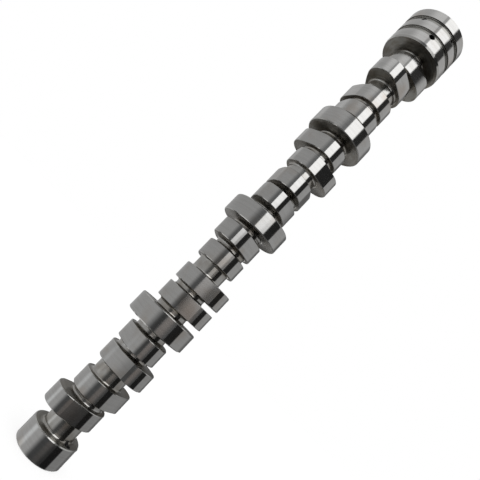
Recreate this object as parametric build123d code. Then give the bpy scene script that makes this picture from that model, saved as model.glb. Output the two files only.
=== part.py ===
"""One-piece camshaft of a 90-degree V8 pushrod engine, standing on its rear end.

The shaft turns about Z. The rear face is at Z = 0 and the front journal, which
carries the cam phaser, is at the top. Angles run counterclockwise seen from the
front. All sizes are in millimetres and degrees.
"""

from build123d import *
from math import atan2, cos, degrees, radians, sin, sqrt
import os

# Bearing journals, numbered from the front as the bearings are.
# Each is a step smaller than the one in front of it, so the shaft slides in from the front.
JOURNAL_1_DIAMETER = 60.6
JOURNAL_2_DIAMETER = 57.8
JOURNAL_3_DIAMETER = 57.4
JOURNAL_4_DIAMETER = 57.0
JOURNAL_5_DIAMETER = 43.6
JOURNAL_WIDTH = 17.2          # journals 2, 3 and 4
JOURNAL_CHAMFER = 0.7
BEARING_PITCH = 113.0         # from one bearing's station to the next
REAR_FACE_TO_BEARING_5 = 20.4

# Rear journal, which starts at the rear face.
REAR_JOURNAL_WIDTH = 19.9
REAR_END_CHAMFER = 1.0
REAR_OIL_HOLE_DIAMETER = 5.4
REAR_OIL_HOLE_DEPTH = 8.0
REAR_OIL_HOLE_ANGLE = 247.0
REAR_OIL_HOLE_BITE = 0.3      # how deep the drill marks the neck beside it
REAR_OIL_HOLE_RUN = 2.8       # how far up the neck it does so
REAR_CENTRE_DIAMETER = 8.0    # mouth of the lathe centre
REAR_CENTRE_ANGLE = 60.0
REAR_CENTRE_PILOT = 3.2       # drill below the cone
REAR_CENTRE_DEPTH = 11.0

# Front journal, wide enough for two phaser oil grooves.
FRONT_JOURNAL_LENGTH = 40.2
FRONT_JOURNAL_BEHIND_BEARING = 9.4
FRONT_LEAD_LENGTH = 2.0       # long shallow chamfer at its rear edge
FRONT_LEAD_DEPTH = 0.7
FRONT_END_CHAMFER = 1.0
GROOVE_WIDTH = 5.3
GROOVE_DEPTH = 1.6
GROOVE_CORNER_RADIUS = 0.5
REAR_GROOVE_FROM_FRONT = 26.4
FRONT_GROOVE_FROM_FRONT = 12.8
OIL_HOLE_BEHIND_GROOVE = 1.5  # hole middle to groove middle, so that the hole breaks its edge
REAR_GROOVE_HOLE_DIAMETER = 5.6
REAR_GROOVE_HOLE_ANGLE = 191.0
REAR_GROOVE_HOLES = 3
FRONT_GROOVE_HOLE_DIAMETER = 3.8
FRONT_GROOVE_HOLE_ANGLE = 155.5
FRONT_GROOVE_HOLE_STEP = 66.0  # the wider gap that is left takes the dowel
FRONT_GROOVE_HOLES = 5

# Front face, where the phaser is bolted on.
SPIGOT_DIAMETER = 18.0        # bore round the bolt, which carries oil to the rear groove
SPIGOT_CHAMFER = 1.0
BOLT_HOLE_DIAMETER = 10.2     # tapping size of an M12 thread
BOLT_HOLE_DEPTH = 62.0
OIL_GALLERY_DIAMETER = 4.2
OIL_GALLERY_RADIUS = 20.5     # from the shaft's axis to a gallery's
DOWEL_HOLE_DIAMETER = 6.0
DOWEL_HOLE_DEPTH = 10.0
DRILL_POINT_ANGLE = 118.0

# Neck between the lobes and journals.
NECK_DIAMETER = 29.0
NECK_FILLET = 2.0
FILLET_COVER = 0.5            # how far a lobe covers the shoulder that its fillets spring from

# Cam lobes. The outline is a base circle, a nose arc and two flank arcs, all tangent.
LOBE_BASE_RADIUS = 19.1
LOBE_LIFT = 9.15
LOBE_NOSE_RADIUS = 15.8
LOBE_FLANK_RADIUS = 90.0
LOBE_WIDTH = 15.4
LOBE_EDGE_BREAK = 0.4
BEARING_TO_NEAR_LOBE = 22.3
NEAR_LOBE_TO_FAR_LOBE = 20.5

# Valve timing, in degrees of camshaft turn.
FIRING_ORDER = (1, 8, 4, 3, 6, 5, 7, 2)
EXHAUST_TO_INTAKE = 115.0     # between the two noses of one cylinder
RIGHT_BANK_PHASE = 150.5      # from the left bank's lifters to the right bank's

bearing_stations = {
    number: REAR_FACE_TO_BEARING_5 + (5 - number) * BEARING_PITCH for number in (1, 2, 3, 4, 5)
}
middle_journal_diameters = {2: JOURNAL_2_DIAMETER, 3: JOURNAL_3_DIAMETER, 4: JOURNAL_4_DIAMETER}
front_journal_rear = bearing_stations[1] - FRONT_JOURNAL_BEHIND_BEARING
front_face = front_journal_rear + FRONT_JOURNAL_LENGTH
groove_middles = (front_face - REAR_GROOVE_FROM_FRONT, front_face - FRONT_GROOVE_FROM_FRONT)
groove_floor_radius = JOURNAL_1_DIAMETER / 2 - GROOVE_DEPTH
neck_radius = NECK_DIAMETER / 2


def lobe_stations():
    """The four lobes behind each of bearings 1 to 4, from the rear: middle, cylinder, valve."""
    stations = []
    for number in (4, 3, 2, 1):
        ahead = bearing_stations[number]
        behind = bearing_stations[number + 1]
        near = BEARING_TO_NEAR_LOBE
        far = near + NEAR_LOBE_TO_FAR_LOBE
        left_cylinder = 2 * number - 1
        right_cylinder = 2 * number
        stations += [
            (behind + near, right_cylinder, "exhaust"),
            (behind + far, left_cylinder, "intake"),
            (ahead - far, right_cylinder, "intake"),
            (ahead - near, left_cylinder, "exhaust"),
        ]
    return stations


def nose_angle(cylinder, valve):
    """Where a lobe's nose points. Each firing stroke is an eighth of a camshaft turn."""
    firing = FIRING_ORDER.index(cylinder) * 360 / len(FIRING_ORDER)
    bank = RIGHT_BANK_PHASE if cylinder % 2 == 0 else 0.0
    side = 0.5 if valve == "intake" else -0.5
    return bank + firing + side * EXHAUST_TO_INTAKE


def at_angle(radius, angle, height=0.0):
    return Vector(radius * cos(radians(angle)), radius * sin(radians(angle)), height)


def lobe_outline():
    """Cam outline with its nose along +X, as one face."""
    nose_centre = LOBE_BASE_RADIUS + LOBE_LIFT - LOBE_NOSE_RADIUS
    to_base = LOBE_FLANK_RADIUS - LOBE_BASE_RADIUS
    to_nose = LOBE_FLANK_RADIUS - LOBE_NOSE_RADIUS
    # The flank arc's centre lies to_base from the base centre and to_nose from the nose centre.
    centre_x = (to_base**2 - to_nose**2 + nose_centre**2) / (2 * nose_centre)
    centre_y = -sqrt(to_base**2 - centre_x**2)
    base_tangent = degrees(atan2(-centre_y, -centre_x))
    nose_tangent = degrees(atan2(-centre_y, nose_centre - centre_x))
    middle = (base_tangent + nose_tangent) / 2

    nose_middle = Vector(nose_centre + LOBE_NOSE_RADIUS, 0)
    nose_end = Vector(nose_centre, 0) + at_angle(LOBE_NOSE_RADIUS, nose_tangent)
    flank_middle = Vector(centre_x, centre_y) + at_angle(LOBE_FLANK_RADIUS, middle)
    base_end = at_angle(LOBE_BASE_RADIUS, base_tangent)
    base_middle = Vector(-LOBE_BASE_RADIUS, 0)

    def mirrored(point):
        return Vector(point.X, -point.Y)

    edges = [
        ThreePointArc(mirrored(nose_end), nose_middle, nose_end),
        ThreePointArc(nose_end, flank_middle, base_end),
        ThreePointArc(base_end, base_middle, mirrored(base_end)),
        ThreePointArc(mirrored(base_end), mirrored(flank_middle), mirrored(nose_end)),
    ]
    return make_face(edges)


def lobe(middle, cylinder, valve):
    """One ground lobe with its sharp edges broken."""
    solid = extrude(lobe_outline(), LOBE_WIDTH)
    ends = solid.faces().sort_by(Axis.Z)
    solid = chamfer(ends[0].edges() + ends[-1].edges(), LOBE_EDGE_BREAK)
    return Pos(0, 0, middle - LOBE_WIDTH / 2) * Rot(0, 0, nose_angle(cylinder, valve)) * solid


def band(radius, bottom, top):
    """Half section of a plain turned length, from the axis out."""
    return Pos(radius / 2, (bottom + top) / 2) * Rectangle(radius, top - bottom)


def journal_band(diameter, bottom, top, rear_break, front_break):
    """Half section of a journal. Each break is the chamfer's length and depth."""
    radius = diameter / 2
    points = [
        (0, bottom),
        (radius - rear_break[1], bottom),
        (radius, bottom + rear_break[0]),
        (radius, top - front_break[0]),
        (radius - front_break[1], top),
        (0, top),
    ]
    return make_face(Polyline(*points, close=True))


def turned_section(stations):
    """Half section of everything that is round about the shaft's axis."""
    middle_break = (JOURNAL_CHAMFER, JOURNAL_CHAMFER)
    rear_break = (REAR_END_CHAMFER, REAR_END_CHAMFER)
    front_break = (FRONT_END_CHAMFER, FRONT_END_CHAMFER)
    lead = (FRONT_LEAD_LENGTH, FRONT_LEAD_DEPTH)

    section = Sketch() + band(neck_radius, 0, front_face)
    section += journal_band(JOURNAL_5_DIAMETER, 0, REAR_JOURNAL_WIDTH, rear_break, middle_break)
    for number, diameter in middle_journal_diameters.items():
        bottom = bearing_stations[number] - JOURNAL_WIDTH / 2
        section += journal_band(
            diameter, bottom, bottom + JOURNAL_WIDTH, middle_break, middle_break
        )
    section += journal_band(JOURNAL_1_DIAMETER, front_journal_rear, front_face, lead, front_break)

    # Shoulders hidden inside the lobes, for the fillets beside each lobe to spring from.
    shoulder_radius = neck_radius + NECK_FILLET + FILLET_COVER
    for middle, _, _ in stations:
        section += band(shoulder_radius, middle - LOBE_WIDTH / 2, middle + LOBE_WIDTH / 2)
    corners = [v for v in section.vertices() if abs(v.X - neck_radius) < 1e-6]
    section = fillet(corners, NECK_FILLET)

    for middle in groove_middles:
        groove = Rectangle(2 * GROOVE_DEPTH, GROOVE_WIDTH)
        section -= Pos(JOURNAL_1_DIAMETER / 2, middle) * groove
    corners = [v for v in section.vertices() if abs(v.X - groove_floor_radius) < 1e-6]
    return fillet(corners, GROOVE_CORNER_RADIUS)


def drilling(diameter, depth):
    """A drilled hole's solid, from its mouth at the origin down -Z, with its drill point."""
    radius = diameter / 2
    point = radius / sin(radians(DRILL_POINT_ANGLE / 2)) * cos(radians(DRILL_POINT_ANGLE / 2))
    points = [(0, 0), (radius, 0), (radius, -depth), (0, -depth - point)]
    return revolve(Plane.XZ * make_face(Polyline(*points, close=True)), Axis.Z)


def radial_drilling(diameter, floor_radius, angle, height):
    """A drilled hole towards the axis, through the front journal's surface to floor_radius."""
    start = JOURNAL_1_DIAMETER / 2 + diameter
    hole = Cylinder(diameter / 2, start - floor_radius, align=(Align.CENTER, Align.CENTER, Align.MIN))
    return Pos(0, 0, height) * Rot(0, 0, angle) * Pos(floor_radius, 0, 0) * Rot(0, 90, 0) * hole


def phaser_oilways():
    """Radial drillings beside both grooves, and the axial galleries of the front one."""
    rear_groove, front_groove = groove_middles
    holes = []
    for index in range(REAR_GROOVE_HOLES):
        angle = REAR_GROOVE_HOLE_ANGLE + index * 360 / REAR_GROOVE_HOLES
        holes.append(
            radial_drilling(
                REAR_GROOVE_HOLE_DIAMETER, 0.0, angle, rear_groove - OIL_HOLE_BEHIND_GROOVE
            )
        )
    for index in range(FRONT_GROOVE_HOLES):
        angle = FRONT_GROOVE_HOLE_ANGLE + index * FRONT_GROOVE_HOLE_STEP
        height = front_groove - OIL_HOLE_BEHIND_GROOVE
        holes.append(radial_drilling(FRONT_GROOVE_HOLE_DIAMETER, OIL_GALLERY_RADIUS, angle, height))
        mouth = at_angle(OIL_GALLERY_RADIUS, angle, front_face)
        gallery_depth = front_face - height + FRONT_GROOVE_HOLE_DIAMETER
        holes.append(Pos(*mouth) * drilling(OIL_GALLERY_DIAMETER, gallery_depth))
    return holes


def front_face_bores():
    """Spigot bore, tapping hole for the phaser's bolt, and the dowel's hole."""
    spigot_depth = REAR_GROOVE_FROM_FRONT + OIL_HOLE_BEHIND_GROOVE + REAR_GROOVE_HOLE_DIAMETER
    spigot_radius = SPIGOT_DIAMETER / 2
    spigot = Cylinder(spigot_radius, spigot_depth, align=(Align.CENTER, Align.CENTER, Align.MAX))
    mouth = Cone(
        spigot_radius,
        spigot_radius + SPIGOT_CHAMFER,
        SPIGOT_CHAMFER,
        align=(Align.CENTER, Align.CENTER, Align.MAX),
    )
    dowel_radius = (JOURNAL_1_DIAMETER + SPIGOT_DIAMETER) / 4
    # The dowel stands in the middle of the wide gap between the last oil gallery and the first.
    gap = 360 - (FRONT_GROOVE_HOLES - 1) * FRONT_GROOVE_HOLE_STEP
    dowel_angle = FRONT_GROOVE_HOLE_ANGLE - gap / 2
    dowel_mouth = at_angle(dowel_radius, dowel_angle, front_face)
    return [
        Pos(0, 0, front_face) * spigot,
        Pos(0, 0, front_face) * mouth,
        Pos(0, 0, front_face) * drilling(BOLT_HOLE_DIAMETER, BOLT_HOLE_DEPTH),
        Pos(*dowel_mouth) * drilling(DOWEL_HOLE_DIAMETER, DOWEL_HOLE_DEPTH),
    ]


def rear_end_bores():
    """Lathe centre in the rear face, and the oil hole in the rear journal's front face."""
    half_angle = radians(REAR_CENTRE_ANGLE / 2)
    cone_depth = (REAR_CENTRE_DIAMETER - REAR_CENTRE_PILOT) / 2 / sin(half_angle) * cos(half_angle)
    centre = Cone(
        REAR_CENTRE_DIAMETER / 2,
        REAR_CENTRE_PILOT / 2,
        cone_depth,
        align=(Align.CENTER, Align.CENTER, Align.MIN),
    )
    pilot = Rot(180, 0, 0) * drilling(REAR_CENTRE_PILOT, REAR_CENTRE_DEPTH)
    # The hole is drilled right against the neck, through the fillet in that corner.
    hole_radius = neck_radius - REAR_OIL_HOLE_BITE + REAR_OIL_HOLE_DIAMETER / 2
    mouth = at_angle(hole_radius, REAR_OIL_HOLE_ANGLE, REAR_JOURNAL_WIDTH)
    above = Cylinder(
        REAR_OIL_HOLE_DIAMETER / 2,
        REAR_OIL_HOLE_RUN,
        align=(Align.CENTER, Align.CENTER, Align.MIN),
    )
    return [
        centre,
        pilot,
        Pos(*mouth) * drilling(REAR_OIL_HOLE_DIAMETER, REAR_OIL_HOLE_DEPTH),
        Pos(*mouth) * above,
    ]


def camshaft():
    stations = lobe_stations()
    turned = revolve(Plane.XZ * turned_section(stations), Axis.Z)
    lobes = [lobe(*station) for station in stations]
    blank = turned + lobes
    return blank - (phaser_oilways() + front_face_bores() + rear_end_bores())


os.makedirs("parts", exist_ok=True)
export_step(camshaft(), "parts/camshaft.step")
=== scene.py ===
from math import cos, radians, sin

import bpy
from mathutils import Matrix, Vector

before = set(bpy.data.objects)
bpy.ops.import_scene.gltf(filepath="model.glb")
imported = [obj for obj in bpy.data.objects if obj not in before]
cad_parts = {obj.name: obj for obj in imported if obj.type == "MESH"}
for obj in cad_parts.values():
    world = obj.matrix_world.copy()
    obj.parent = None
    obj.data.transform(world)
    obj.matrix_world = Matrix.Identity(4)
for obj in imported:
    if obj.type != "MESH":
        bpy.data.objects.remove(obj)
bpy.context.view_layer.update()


# --- Camshaft blank ------------------------------------------------------------
# One bar of alloy steel, turned all over on its centres before anything is ground. It
# stands on its rear end here. The lathe leaves rings round the necks and across the side
# faces of lobes and journals.
NECK_COLOUR = (0.495, 0.49, 0.474, 1.0)
NECK_RESIDUE_COLOUR = (0.37, 0.348, 0.315, 1.0)
# Side faces get darker copies of the necks' clean and filmed colours: painted shade on the faces
# that look along the shaft.
SIDE_SHADED_COLOUR = (0.32, 0.313, 0.29, 1.0)
SIDE_SHADED_RESIDUE_COLOUR = (0.22, 0.20, 0.17, 1.0)
NECK_ROUGHNESS = 0.13
SIDE_ROUGHNESS = 0.30
RING_PITCH = 0.0013             # one turn's feed on the lathe
RING_DEPTH = 0.000014
RING_DULLING = 0.05             # what the rings add to the roughness
GROUND_RADIUS = 0.0186          # everything ground stands further out than this
GROUND_BORDER = 0.0004
SIDE_TILT = (0.6, 0.9)          # how far a face looks along the shaft, to count as a side
FILM_PATCHES = 90.0             # to a metre
NECK_FILM = (0.35, 0.7)         # from no film to full film
SIDE_FILM = (0.6, 1.0)
RING_FILM = 0.6                 # how far the film keeps to the rings

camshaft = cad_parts["camshaft"]
steel = bpy.data.materials.new("camshaft_steel")
steel.use_nodes = True
steel_tree = steel.node_tree
shader = steel_tree.nodes["Principled BSDF"]


def join(tree, value, socket):
    """Sets a socket to a number or colour, or joins another node's output to it."""
    if isinstance(value, bpy.types.NodeSocket):
        tree.links.new(value, socket)
    else:
        socket.default_value = value


def maths(tree, operation, first, second=0.0):
    """Works out one sum, difference, product or the like of two numbers or sockets."""
    node = tree.nodes.new("ShaderNodeMath")
    node.operation = operation
    join(tree, first, node.inputs[0])
    join(tree, second, node.inputs[1])
    return node.outputs[0]


def ramp(tree, value, low, high, start=0.0, end=1.0):
    """Runs smoothly from start to end while value runs from low to high."""
    node = tree.nodes.new("ShaderNodeMapRange")
    node.interpolation_type = "SMOOTHSTEP"
    join(tree, value, node.inputs["Value"])
    node.inputs["From Min"].default_value = low
    node.inputs["From Max"].default_value = high
    node.inputs["To Min"].default_value = start
    node.inputs["To Max"].default_value = end
    return node.outputs["Result"]


def blend(tree, share, first, second, kind="RGBA"):
    """Goes from the first colour to the second as share goes from 0 to 1, or between numbers."""
    node = tree.nodes.new("ShaderNodeMix")
    node.data_type = kind
    sockets = {socket.name: socket for socket in node.inputs if socket.enabled}
    join(tree, share, sockets["Factor"])
    join(tree, first, sockets["A"])
    join(tree, second, sockets["B"])
    return next(socket for socket in node.outputs if socket.enabled)


def point(tree, x, y, z):
    """Puts three numbers or sockets together as one place."""
    node = tree.nodes.new("ShaderNodeCombineXYZ")
    for value, socket in zip((x, y, z), node.inputs):
        join(tree, value, socket)
    return node.outputs[0]


def grain(tree, vector, scale, detail):
    """A cloudy pattern between 0 and 1, always the same at the same place."""
    node = tree.nodes.new("ShaderNodeTexNoise")
    join(tree, vector, node.inputs["Vector"])
    node.inputs["Scale"].default_value = scale
    node.inputs["Detail"].default_value = detail
    return node.outputs["Fac"]


place = steel_tree.nodes.new("ShaderNodeTexCoord")
split_place = steel_tree.nodes.new("ShaderNodeSeparateXYZ")
steel_tree.links.new(place.outputs["Object"], split_place.inputs[0])
split_normal = steel_tree.nodes.new("ShaderNodeSeparateXYZ")
steel_tree.links.new(place.outputs["Normal"], split_normal.inputs[0])
across, away, height = split_place.outputs
across_squared = maths(steel_tree, "MULTIPLY", across, across)
away_squared = maths(steel_tree, "MULTIPLY", away, away)
radius = maths(steel_tree, "SQRT", maths(steel_tree, "ADD", across_squared, away_squared))
round_x = maths(steel_tree, "DIVIDE", across, radius)
round_y = maths(steel_tree, "DIVIDE", away, radius)
facing_along = maths(steel_tree, "ABSOLUTE", split_normal.outputs[2])
is_side = ramp(steel_tree, facing_along, *SIDE_TILT)
is_outer = ramp(steel_tree, radius, GROUND_RADIUS - GROUND_BORDER, GROUND_RADIUS)

# Lathe rings: on a round surface they follow the height, on a side face the radius.
along_cut = maths(steel_tree, "ADD", height, radius)
ring_count = maths(steel_tree, "DIVIDE", along_cut, RING_PITCH)
rings = grain(steel_tree, point(steel_tree, round_x, round_y, ring_count), 1.0, 3.0)

# Old oil dries into a thin brown film on whatever the grinding wheel didn't reach.
film = grain(steel_tree, place.outputs["Object"], FILM_PATCHES, 3.0)
neck_film = ramp(steel_tree, film, *NECK_FILM)
neck_colour = blend(steel_tree, neck_film, NECK_COLOUR, NECK_RESIDUE_COLOUR)
ringed_film = maths(steel_tree, "ADD", maths(steel_tree, "MULTIPLY", rings, RING_FILM), film)
side_film = ramp(steel_tree, ringed_film, *SIDE_FILM)
# Faces that look along the shaft take the darker side colours, a painted shade, under the same
# film.
shaded_side_colour = blend(steel_tree, side_film, SIDE_SHADED_COLOUR, SIDE_SHADED_RESIDUE_COLOUR)
turned_colour = blend(steel_tree, is_side, neck_colour, shaded_side_colour)
between_rings = ramp(steel_tree, facing_along, *SIDE_TILT, NECK_ROUGHNESS, SIDE_ROUGHNESS)
ring_roughness = maths(steel_tree, "MULTIPLY", rings, RING_DULLING)
turned_roughness = maths(steel_tree, "ADD", between_rings, ring_roughness)


# --- Journals and lobes --------------------------------------------------------
# Bearing journals and cam lobes are hardened and cylindrically ground, then polished.
# The wheel leaves hair-fine marks round the shaft, which smear what the steel mirrors.
GROUND_COLOUR = (0.50, 0.497, 0.488, 1.0)
GROUND_DULL_COLOUR = (0.455, 0.45, 0.44, 1.0)
STAIN_COLOUR = (0.43, 0.395, 0.36, 1.0)
GROUND_ROUGHNESS = 0.095
GRIND_MARK = 0.00022            # width of one wheel mark
GRIND_DEPTH = 0.0000012
MARKS_IN_BAND = 9
DULL_BANDS = (0.35, 0.75)       # from bright to dull
STAIN_PATCHES = 38.0            # to a metre
STAINS = (0.5, 0.7)             # from clean to stained
STAIN_STRENGTH = 0.8
STAIN_DULLING = 0.04            # what a stain adds to the roughness

shader.inputs["Anisotropic"].default_value = 0.8
shader.inputs["Anisotropic Rotation"].default_value = 0.25
round_the_shaft = steel_tree.nodes.new("ShaderNodeTangent")
round_the_shaft.direction_type = "RADIAL"
round_the_shaft.axis = "Z"
steel_tree.links.new(round_the_shaft.outputs[0], shader.inputs["Tangent"])

mark_count = maths(steel_tree, "DIVIDE", height, GRIND_MARK)
fine_marks = grain(steel_tree, point(steel_tree, round_x, round_y, mark_count), 1.0, 2.0)
band_count = maths(steel_tree, "DIVIDE", height, MARKS_IN_BAND * GRIND_MARK)
mark_bands = grain(steel_tree, point(steel_tree, round_x, round_y, band_count), 1.0, 3.0)
clouds = grain(steel_tree, place.outputs["Object"], STAIN_PATCHES, 4.0)

dulled = ramp(steel_tree, mark_bands, *DULL_BANDS)
stained = ramp(steel_tree, clouds, *STAINS, 0.0, STAIN_STRENGTH)
ground_colour = blend(steel_tree, dulled, GROUND_COLOUR, GROUND_DULL_COLOUR)
ground_colour = blend(steel_tree, stained, ground_colour, STAIN_COLOUR)
stain_roughness = maths(steel_tree, "MULTIPLY", clouds, STAIN_DULLING)
ground_roughness = maths(steel_tree, "ADD", GROUND_ROUGHNESS, stain_roughness)
is_ground = maths(steel_tree, "MULTIPLY", is_outer, maths(steel_tree, "SUBTRACT", 1.0, is_side))


# --- Broken edges --------------------------------------------------------------
# Every sharp edge of a lobe or journal is broken with a small chamfer.
# Their colour is a little brighter than the ground steel beside them, a painted highlight, and they
# are less smooth.
EDGE_PAINTED_HIGHLIGHT = (0.52, 0.515, 0.50, 1.0)
EDGE_ROUGHNESS = 0.17
TILTED_OFF_ROUND = (0.15, 0.4)  # how far a chamfer looks along the shaft, at the least
SHORT_OF_SIDE = (0.85, 0.97)    # and at the most

tilted = ramp(steel_tree, facing_along, *TILTED_OFF_ROUND)
not_side = ramp(steel_tree, facing_along, *SHORT_OF_SIDE, 1.0, 0.0)
is_edge = maths(steel_tree, "MULTIPLY", is_outer, maths(steel_tree, "MULTIPLY", tilted, not_side))


# --- Oil grooves ---------------------------------------------------------------
# Two grooves are plunged into the front journal to feed the phaser that is bolted to it.
# They stay as the tool left them, duller than the ground surface, and their colour is darker, a
# painted shade in the recess.
GROOVE_PAINTED_SHADE = (0.36, 0.355, 0.335, 1.0)
GROOVE_ROUGHNESS = 0.22
GROOVE_WIDTH = 0.0053
GROOVE_MIDDLES = (0.4768, 0.4904)
JOURNAL_SKIN = 0.0300           # radius just under the front journal's surface
GROOVE_BORDER = 0.0001


def between(tree, value, low, high, soft):
    """Is one while value lies between low and high, and nought outside."""
    above = ramp(tree, value, low, low + soft)
    return maths(tree, "MULTIPLY", above, ramp(tree, value, high, high + soft, 1.0, 0.0))


in_a_groove = 0.0
for middle in GROOVE_MIDDLES:
    walls = (middle - GROOVE_WIDTH / 2, middle + GROOVE_WIDTH / 2)
    in_this = between(steel_tree, height, *walls, GROOVE_BORDER)
    in_a_groove = maths(steel_tree, "MAXIMUM", in_a_groove, in_this)
under_skin = ramp(steel_tree, radius, JOURNAL_SKIN, JOURNAL_SKIN + GROOVE_BORDER, 1.0, 0.0)
is_groove = maths(steel_tree, "MULTIPLY", under_skin, in_a_groove)


# --- Drillings -----------------------------------------------------------------
# Oil holes are drilled in beside each groove, and one in the face of the rear journal.
# Nothing is finished inside them. They and a thin rim round each are painted near black, a painted
# shade in the hollow.
DRILLING_PAINTED_SHADE = (0.012, 0.011, 0.010, 1.0)
DRILLING_ROUGHNESS = 0.6
DRILLING_WALL = 0.0001          # the black is full to this far past the hole's wall
DRILLING_RIM = 0.0006           # and ends this far past it
BEHIND_GROOVE = 0.0015          # from a groove's middle to the middle of its drillings
REAR_GROOVE_DRILLINGS = (0.0056, (191.0, 311.0, 71.0))
FRONT_GROOVE_DRILLINGS = (0.0038, (155.5, 221.5, 287.5, 353.5, 59.5))
AXIS_BORDER = 0.001             # a drilling starts on its own side of the shaft's axis
REAR_JOURNAL_DRILLING = 0.0054
REAR_JOURNAL_DRILLING_RADIUS = 0.0169
REAR_JOURNAL_DRILLING_ANGLE = radians(247.0)
REAR_JOURNAL_DRILLING_HEIGHTS = (0.0110, 0.0226)
REAR_JOURNAL_DRILLING_BORDER = 0.0005


def drilled(tree, aside, beyond, bore):
    """Is one where a point is inside a hole or on its rim, from its distances to the axis."""
    squares = (maths(tree, "MULTIPLY", aside, aside), maths(tree, "MULTIPLY", beyond, beyond))
    distance = maths(tree, "SQRT", maths(tree, "ADD", *squares))
    return ramp(tree, distance, bore / 2 + DRILLING_WALL, bore / 2 + DRILLING_RIM, 1.0, 0.0)


hole_x = REAR_JOURNAL_DRILLING_RADIUS * cos(REAR_JOURNAL_DRILLING_ANGLE)
hole_y = REAR_JOURNAL_DRILLING_RADIUS * sin(REAR_JOURNAL_DRILLING_ANGLE)
from_hole_x = maths(steel_tree, "SUBTRACT", across, hole_x)
from_hole_y = maths(steel_tree, "SUBTRACT", away, hole_y)
in_hole = drilled(steel_tree, from_hole_x, from_hole_y, REAR_JOURNAL_DRILLING)
hole_ends = (*REAR_JOURNAL_DRILLING_HEIGHTS, REAR_JOURNAL_DRILLING_BORDER)
is_drilled = maths(steel_tree, "MULTIPLY", in_hole, between(steel_tree, height, *hole_ends))
for middle, (bore, angles) in zip(GROOVE_MIDDLES, (REAR_GROOVE_DRILLINGS, FRONT_GROOVE_DRILLINGS)):
    from_hole_z = maths(steel_tree, "SUBTRACT", height, middle - BEHIND_GROOVE)
    for angle in angles:
        x_outward = maths(steel_tree, "MULTIPLY", across, cos(radians(angle)))
        y_outward = maths(steel_tree, "MULTIPLY", away, sin(radians(angle)))
        outward = maths(steel_tree, "ADD", x_outward, y_outward)
        on_this_side = ramp(steel_tree, outward, 0.0, AXIS_BORDER)
        x_aside = maths(steel_tree, "MULTIPLY", across, sin(radians(angle)))
        y_aside = maths(steel_tree, "MULTIPLY", away, cos(radians(angle)))
        aside = maths(steel_tree, "SUBTRACT", y_aside, x_aside)
        in_hole = drilled(steel_tree, aside, from_hole_z, bore)
        in_hole = maths(steel_tree, "MULTIPLY", in_hole, on_this_side)
        is_drilled = maths(steel_tree, "MAXIMUM", is_drilled, in_hole)


# --- Finished steel ------------------------------------------------------------
# The masks above lay turned and ground steel, the painted highlight on the edges and the painted
# shade in grooves and drillings over one another.
# Lathe rings stand up by about a hundredth of a millimetre, wheel marks by a thousandth.
colour = blend(steel_tree, is_ground, turned_colour, ground_colour)
# The chamfers take the painted highlight colour.
colour = blend(steel_tree, is_edge, colour, EDGE_PAINTED_HIGHLIGHT)
# The grooves take the painted shade colour.
colour = blend(steel_tree, is_groove, colour, GROOVE_PAINTED_SHADE)
# The drillings and their rims take the near-black painted shade.
colour = blend(steel_tree, is_drilled, colour, DRILLING_PAINTED_SHADE)
join(steel_tree, colour, shader.inputs["Base Color"])
join(steel_tree, maths(steel_tree, "SUBTRACT", 1.0, is_drilled), shader.inputs["Metallic"])
roughness = blend(steel_tree, is_ground, turned_roughness, ground_roughness, "FLOAT")
roughness = blend(steel_tree, is_edge, roughness, EDGE_ROUGHNESS, "FLOAT")
roughness = blend(steel_tree, is_groove, roughness, GROOVE_ROUGHNESS, "FLOAT")
roughness = blend(steel_tree, is_drilled, roughness, DRILLING_ROUGHNESS, "FLOAT")
join(steel_tree, roughness, shader.inputs["Roughness"])

turned_relief = maths(steel_tree, "MULTIPLY", rings, RING_DEPTH)
ground_relief = maths(steel_tree, "MULTIPLY", fine_marks, GRIND_DEPTH)
relief = blend(steel_tree, is_ground, turned_relief, ground_relief, "FLOAT")
bump = steel_tree.nodes.new("ShaderNodeBump")
bump.inputs["Distance"].default_value = 1.0
join(steel_tree, relief, bump.inputs["Height"])
steel_tree.links.new(bump.outputs[0], shader.inputs["Normal"])

camshaft.material_slots[0].material = steel


# --- Floor ---------------------------------------------------------------------
# A plain pale table, wide enough to run out of every view.
# The camera sees it as white, less the shaft's own soft shadow.
FLOOR_SIZE = 12.0
FLOOR_SHADE = 0.25
FLOOR_LIFT = 0.77               # brings the floor up to white

bpy.ops.mesh.primitive_plane_add(size=FLOOR_SIZE)
floor = bpy.context.object
floor.name = "floor"
floor.visible_glossy = False
floor_paint = bpy.data.materials.new("floor_paint")
floor_paint.use_nodes = True
floor_tree = floor_paint.node_tree
floor_tree.nodes.clear()
paint = floor_tree.nodes.new("ShaderNodeBsdfDiffuse")
paint.inputs["Color"].default_value = (FLOOR_SHADE, FLOOR_SHADE, FLOOR_SHADE, 1.0)
lift = floor_tree.nodes.new("ShaderNodeEmission")
rays = floor_tree.nodes.new("ShaderNodeLightPath")
seen_by = maths(floor_tree, "MAXIMUM", rays.outputs["Is Camera Ray"], rays.outputs["Is Glossy Ray"])
seen_by = maths(floor_tree, "MAXIMUM", seen_by, rays.outputs["Is Transmission Ray"])
join(floor_tree, maths(floor_tree, "MULTIPLY", seen_by, FLOOR_LIFT), lift.inputs["Strength"])
both = floor_tree.nodes.new("ShaderNodeAddShader")
floor_tree.links.new(paint.outputs[0], both.inputs[0])
floor_tree.links.new(lift.outputs[0], both.inputs[1])
floor_surface = floor_tree.nodes.new("ShaderNodeOutputMaterial").inputs["Surface"]
floor_tree.links.new(both.outputs[0], floor_surface)
floor.data.materials.append(floor_paint)


# --- Room ----------------------------------------------------------------------
# An even white room closes the studio in.
# Whatever else the metal mirrors is one of the cards below.
room = bpy.data.worlds.new("white_room")
room.use_nodes = True
room_light = room.node_tree.nodes["Background"]
room_light.inputs["Color"].default_value = (1.0, 1.0, 1.0, 1.0)
room_light.inputs["Strength"].default_value = 1.0
bpy.context.scene.world = room


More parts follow.
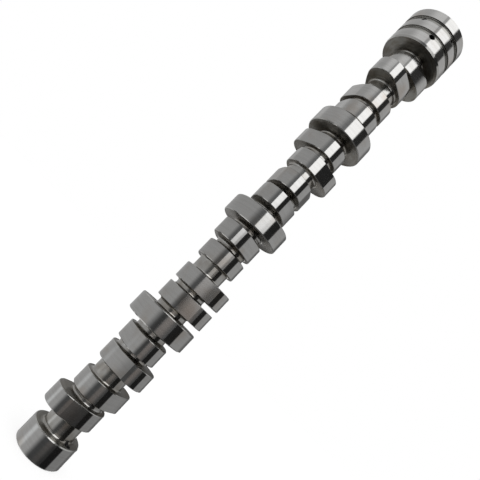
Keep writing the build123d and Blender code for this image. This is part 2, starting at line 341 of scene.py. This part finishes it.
# --- Studio cards --------------------------------------------------------------
# Curved cards stand round the shaft, and only the polished steel mirrors them: grey walls,
# a dark card behind the camera, a tall white softbox and a black flag beside it. Each
# smaller card lightens or darkens one stretch of a larger one.
CAMERA_AZIMUTH = 194.0          # where the camera stands, seen from the shaft
STUDIO_FOOT = -1.6
STUDIO_HEAD = 3.6
CARD_STEPS = 48
WHITE = (1.0, 1.0, 1.0)
COOL = (0.98, 1.0, 1.015)
WARM = (1.07, 0.98, 0.93)


def studio_sheet(name, corners, faces):
    """A mesh that only the steel mirrors, with its own empty material tree."""
    mesh = bpy.data.meshes.new(name)
    mesh.from_pydata(corners, [], faces)
    sheet = bpy.data.objects.new(name, mesh)
    bpy.context.scene.collection.objects.link(sheet)
    sheet.visible_camera = False
    sheet.visible_diffuse = False
    sheet.visible_shadow = False
    material = bpy.data.materials.new(name)
    material.use_nodes = True
    material.node_tree.nodes.clear()
    mesh.materials.append(material)
    return mesh, material.node_tree


def studio_card(name, distance, foot_sides, head_sides, ends, glows, feathers, tint=WHITE):
    """A card that curves round the shaft.

    Its sides are azimuths from the camera's, at the foot and at the head, and its ends
    are heights. Glows are its brightness at the foot, middle and head. Feathers are the
    shares of its width and height that its soft edges take: left, right, foot and head.
    """
    corners = []
    faces = []
    for index in range(CARD_STEPS + 1):
        share = index / CARD_STEPS
        for sides, end in zip((foot_sides, head_sides), ends):
            angle = radians(CAMERA_AZIMUTH + sides[0] + share * (sides[1] - sides[0]))
            corners.append((distance * cos(angle), distance * sin(angle), end))
        if index:
            faces.append((2 * index - 2, 2 * index, 2 * index + 1, 2 * index - 1))
    mesh, tree = studio_sheet(name, corners, faces)
    flat = mesh.uv_layers.new(name="flat")
    for loop in mesh.loops:
        flat.data[loop.index].uv = (loop.vertex_index // 2 / CARD_STEPS, loop.vertex_index % 2)

    split = tree.nodes.new("ShaderNodeSeparateXYZ")
    tree.links.new(tree.nodes.new("ShaderNodeUVMap").outputs[0], split.inputs[0])
    across_share, up_share = split.outputs[0], split.outputs[1]
    cover = 1.0
    for share, near, far in ((across_share, *feathers[:2]), (up_share, *feathers[2:])):
        if near:
            cover = maths(tree, "MULTIPLY", cover, ramp(tree, share, 0.0, near))
        if far:
            cover = maths(tree, "MULTIPLY", cover, ramp(tree, share, 1.0 - far, 1.0, 1.0, 0.0))
    glow = tree.nodes.new("ShaderNodeEmission")
    glow.inputs["Color"].default_value = (*tint, 1.0)
    lower = ramp(tree, up_share, 0.0, 0.5, glows[0], glows[1])
    upper = ramp(tree, up_share, 0.5, 1.0, 0.0, glows[2] - glows[1])
    join(tree, maths(tree, "ADD", lower, upper), glow.inputs["Strength"])
    edge = tree.nodes.new("ShaderNodeMixShader")
    join(tree, cover, edge.inputs[0])
    tree.links.new(tree.nodes.new("ShaderNodeBsdfTransparent").outputs[0], edge.inputs[1])
    tree.links.new(glow.outputs[0], edge.inputs[2])
    tree.links.new(edge.outputs[0], tree.nodes.new("ShaderNodeOutputMaterial").inputs["Surface"])


def upright_card(name, distance, sides, ends, glows, feathers, tint=WHITE):
    """A card whose sides stand upright."""
    studio_card(name, distance, sides, sides, ends, glows, feathers, tint)


WALLS = (STUDIO_FOOT, STUDIO_HEAD)
upright_card("left_wall", 2.4, (-200, 20), WALLS, (0.56, 0.455, 0.62), (0, 0, 0, 0))
upright_card("right_wall", 2.4, (20, 160), WALLS, (0.30, 0.50, 0.72), (0, 0, 0, 0))
upright_card("back_left", 2.38, (-150, -106), (0.7, 2.6), (0.58, 0.64, 0.60),
             (0.3, 0.4, 0.4, 0.4))
upright_card("back_wall", 2.38, (118, 188), WALLS, (0.15, 0.15, 0.32), (0.4, 0.15, 0, 0))
upright_card("back_foot", 2.37, (170, 206), (STUDIO_FOOT, -0.5), (0.12, 0.15, 0.15),
             (0.2, 0.3, 0, 0.4))
upright_card("back_strip", 2.36, (158, 172), (STUDIO_FOOT, 0.35), (1.2, 1.2, 1.2),
             (0.2, 0.2, 0, 0.3))
upright_card("window", 2.35, (-96, -58), (STUDIO_FOOT, 0.1), (0.90, 0.90, 0.60),
             (0.5, 0.4, 0, 0.6), COOL)
upright_card("upper_glow", 2.33, (-80, -14), (1.5, STUDIO_HEAD), (0.60, 0.92, 0.95),
             (0.6, 0.05, 0.35, 0))
studio_card("camera_card", 2.3, (-41, 45), (-33, 45), (STUDIO_FOOT, 2.3), (0.07, 0.13, 0.30),
            (0.34, 0, 0, 0.1), COOL)
upright_card("dark_gap", 2.27, (-19, 8), (-0.33, 0.26), (0.055, 0.055, 0.055),
             (0.45, 0.35, 0.4, 0.4))
upright_card("spill", 2.25, (0, 45), (-1.35, 0.5), (0.06, 0.22, 0.34),
             (0.25, 0.6, 0.5, 0.15), WARM)
studio_card("flag_shade", 2.24, (8, 46), (30, 46), (STUDIO_FOOT, -0.1), (0.03, 0.04, 0.05),
            (0.75, 0, 0, 0.6))
studio_card("softbox", 2.2, (4, 45), (-10, 45), (0.04, STUDIO_HEAD), (1.72, 1.8, 1.7),
            (0.05, 0.12, 0.28, 0))
upright_card("soft_corner", 2.15, (22, 50), (0.05, 1.05), (0.10, 0.10, 0.10),
             (0.42, 0, 0.2, 0.95))
studio_card("black_flag", 2.1, (44, 79.2), (44, 75.5), WALLS, (0.012, 0.026, 0.08),
            (0.03, 0.13, 0, 0))


# --- Studio ceiling ------------------------------------------------------------
# A dark ceiling above the cards and a dark drop under them, so that the polished edges
# mirror bright lines only where the softbox leans in over the shaft. Two pale boards lie
# on the drop and light whatever looks down.
STUDIO_REACH = 2.45
BOARD_GAP = 0.01                # between one board and the next


def studio_disc(name, outer, inner, sides, level, shade):
    """A flat sector at one level, with one brightness."""
    corners = []
    faces = []
    for index in range(CARD_STEPS + 1):
        angle = radians(CAMERA_AZIMUTH + sides[0] + index / CARD_STEPS * (sides[1] - sides[0]))
        for distance in (inner, outer):
            corners.append((distance * cos(angle), distance * sin(angle), level))
        if index:
            faces.append((2 * index - 2, 2 * index - 1, 2 * index + 1, 2 * index))
    tree = studio_sheet(name, corners, faces)[1]
    glow = tree.nodes.new("ShaderNodeEmission")
    glow.inputs["Strength"].default_value = shade
    tree.links.new(glow.outputs[0], tree.nodes.new("ShaderNodeOutputMaterial").inputs["Surface"])


studio_disc("ceiling", STUDIO_REACH, 0.0, (0, 360), STUDIO_HEAD + 2 * BOARD_GAP, 0.2)
studio_disc("softbox_hood", 2.2, 0.7, (-13, 44.5), STUDIO_HEAD - BOARD_GAP, 1.7)
studio_disc("softbox_top", 1.15, 0.0, (-60, 120), STUDIO_HEAD - 2 * BOARD_GAP, 1.2)
studio_disc("drop", STUDIO_REACH, 0.0, (0, 360), STUDIO_FOOT - 2 * BOARD_GAP, 0.12)
studio_disc("left_bounce", 1.4, 0.3, (-160, -45), STUDIO_FOOT - BOARD_GAP, 1.0)
studio_disc("back_bounce", 2.3, 1.9, (-200, -130), STUDIO_FOOT - BOARD_GAP, 0.9)


# --- Lamp ----------------------------------------------------------------------
# One soft lamp hangs above and beside the shaft and gives the floor its faint shadow.
# The metal doesn't mirror it.
LAMP_SIZE = 1.2
LAMP_POWER = 6.0
LAMP_PLACE = Vector((-0.9, -0.7, 1.4))

lamp_data = bpy.data.lights.new("soft_lamp", "AREA")
lamp_data.size = LAMP_SIZE
lamp_data.energy = LAMP_POWER
lamp = bpy.data.objects.new("soft_lamp", lamp_data)
lamp.visible_glossy = False
lamp.location = LAMP_PLACE
lamp.rotation_euler = (-LAMP_PLACE).to_track_quat("-Z", "Y").to_euler()
bpy.context.scene.collection.objects.link(lamp)


# --- Camera --------------------------------------------------------------------
# It stands close beside the lower part of the shaft and looks a little upward, rolled so
# that the shaft runs from corner to corner.
CAMERA_DISTANCE = 0.3788
CAMERA_HEIGHT = 0.1583
CAMERA_TIP = 10.32
CAMERA_ROLL = 43.80961
SENSOR_WIDTH = 36.0             # in millimetres, as is the next
FOCAL_LENGTH = 33.6525

camera_data = bpy.data.cameras.new("camera")
camera_data.sensor_width = SENSOR_WIDTH
camera_data.lens = FOCAL_LENGTH
camera = bpy.data.objects.new("camera", camera_data)
bpy.context.scene.collection.objects.link(camera)
camera_x = CAMERA_DISTANCE * cos(radians(CAMERA_AZIMUTH))
camera_y = CAMERA_DISTANCE * sin(radians(CAMERA_AZIMUTH))
stand = Matrix.Translation((camera_x, camera_y, CAMERA_HEIGHT))
turn = Matrix.Rotation(radians(CAMERA_AZIMUTH + 90), 4, "Z")
tip = Matrix.Rotation(radians(90 + CAMERA_TIP), 4, "X")
roll = Matrix.Rotation(radians(CAMERA_ROLL), 4, "Z")
camera.matrix_world = stand @ turn @ tip @ roll
bpy.context.scene.camera = camera
bpy.context.scene.view_settings.view_transform = "Standard"
